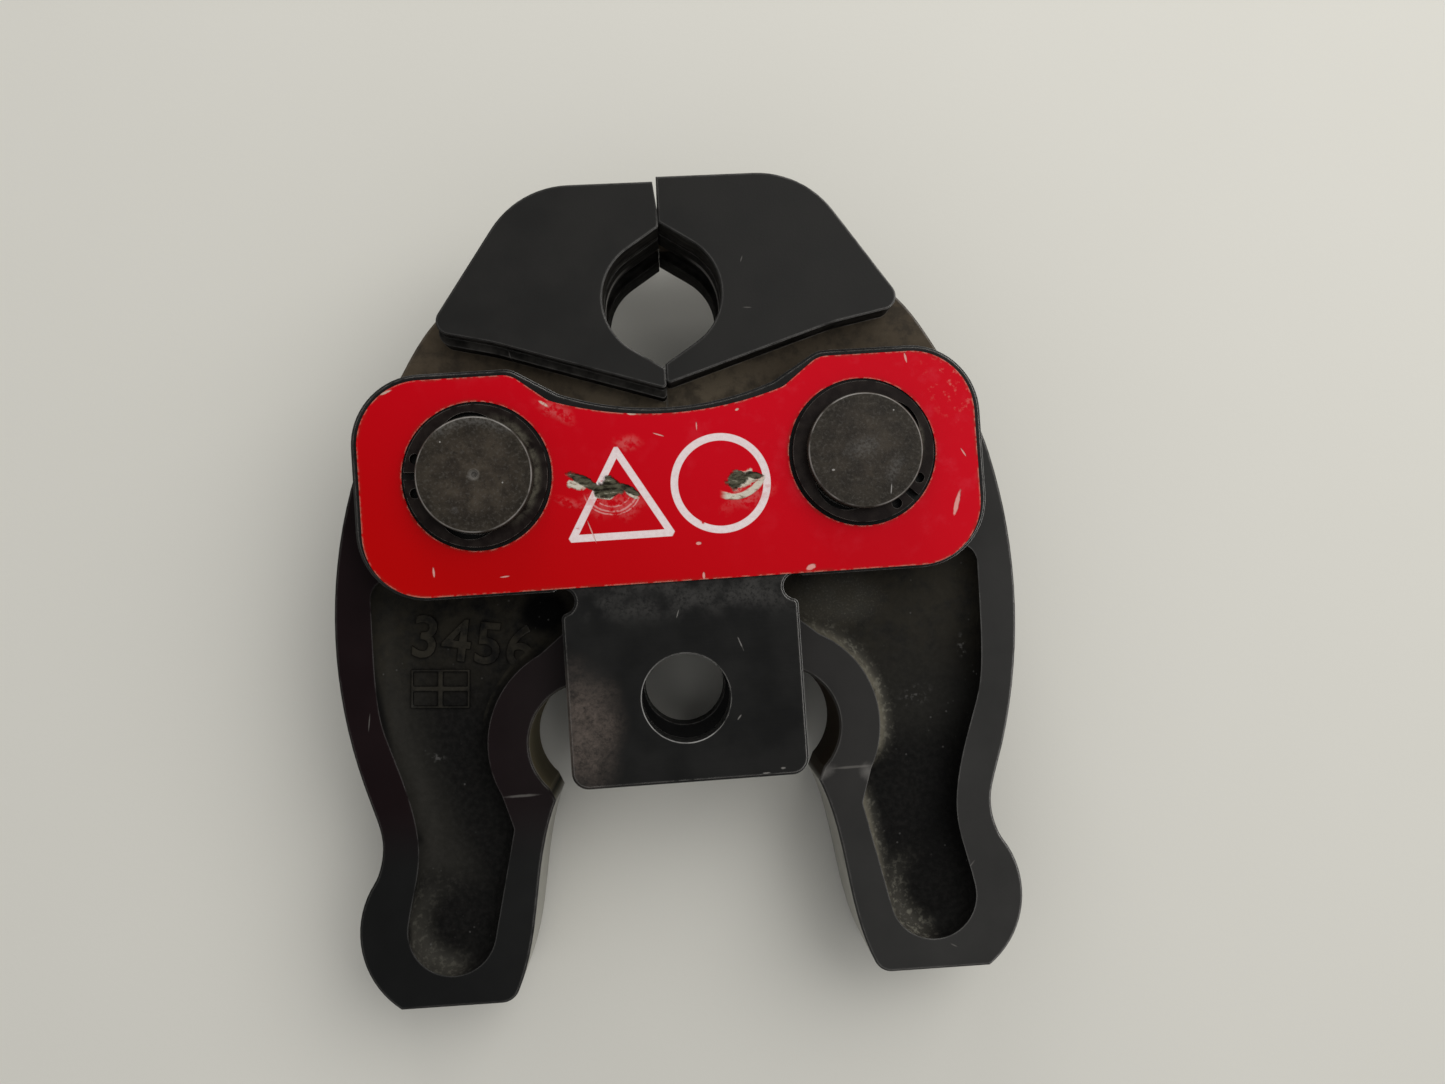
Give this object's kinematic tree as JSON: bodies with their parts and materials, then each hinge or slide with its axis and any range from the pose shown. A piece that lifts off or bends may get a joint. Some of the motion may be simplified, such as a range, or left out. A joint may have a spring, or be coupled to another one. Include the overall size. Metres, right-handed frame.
{
  "type": "press fitting tool jaw",
  "caption": "Press jaw for a pipe pressing tool: two forged lever arms with a split ring contour, pivoted between T-shaped side plates with a tool pin bore.",
  "frame": {"origin": "centre of the tool pin bore, halfway between the two side plates", "axes": "+Y from the tail towards the head with the press contour, +Z along the tool pin bore out of the labelled front, +X to the right as seen from the front"},
  "size_m": [0.11, 0.1294, 0.037],
  "materials": {
    "forged_steel": "satin",
    "plate_steel": "satin",
    "pin_steel": "satin",
    "ring_steel": "satin",
    "spring_steel": "satin",
    "label_red": "gloss"
  },
  "bodies": {
    "frame": {"side_plate_front": "plate_steel", "side_plate_rear": "plate_steel", "front_label": "label_red", "leg_spring": "spring_steel", "pivot_pin_left": "pin_steel", "pivot_pin_right": "pin_steel", "retaining_ring_left_front": "ring_steel", "retaining_ring_left_rear": "ring_steel", "retaining_ring_right_front": "ring_steel", "retaining_ring_right_rear": "ring_steel"},
    "left_arm": {"jaw_arm_left": "forged_steel"},
    "right_arm": {"jaw_arm_right": "forged_steel"}
  },
  "joints": [
    {"name": "left_arm_pivot", "type": "hinge", "parent": "frame", "child": "left_arm", "pos_m": [-0.03025, 0.0367, 0], "axis": [0, 0, 1], "range_deg": [0, 14], "stiffness_Nm_per_rad": 3, "springref_deg": -28.65, "deforming": ["leg_spring"]},
    {"name": "right_arm_pivot", "type": "hinge", "parent": "frame", "child": "right_arm", "pos_m": [0.03025, 0.0367, 0], "axis": [0, 0, 1], "range_deg": [-14, 0], "stiffness_Nm_per_rad": 3, "springref_deg": 28.65, "deforming": ["leg_spring"]}
  ]
}
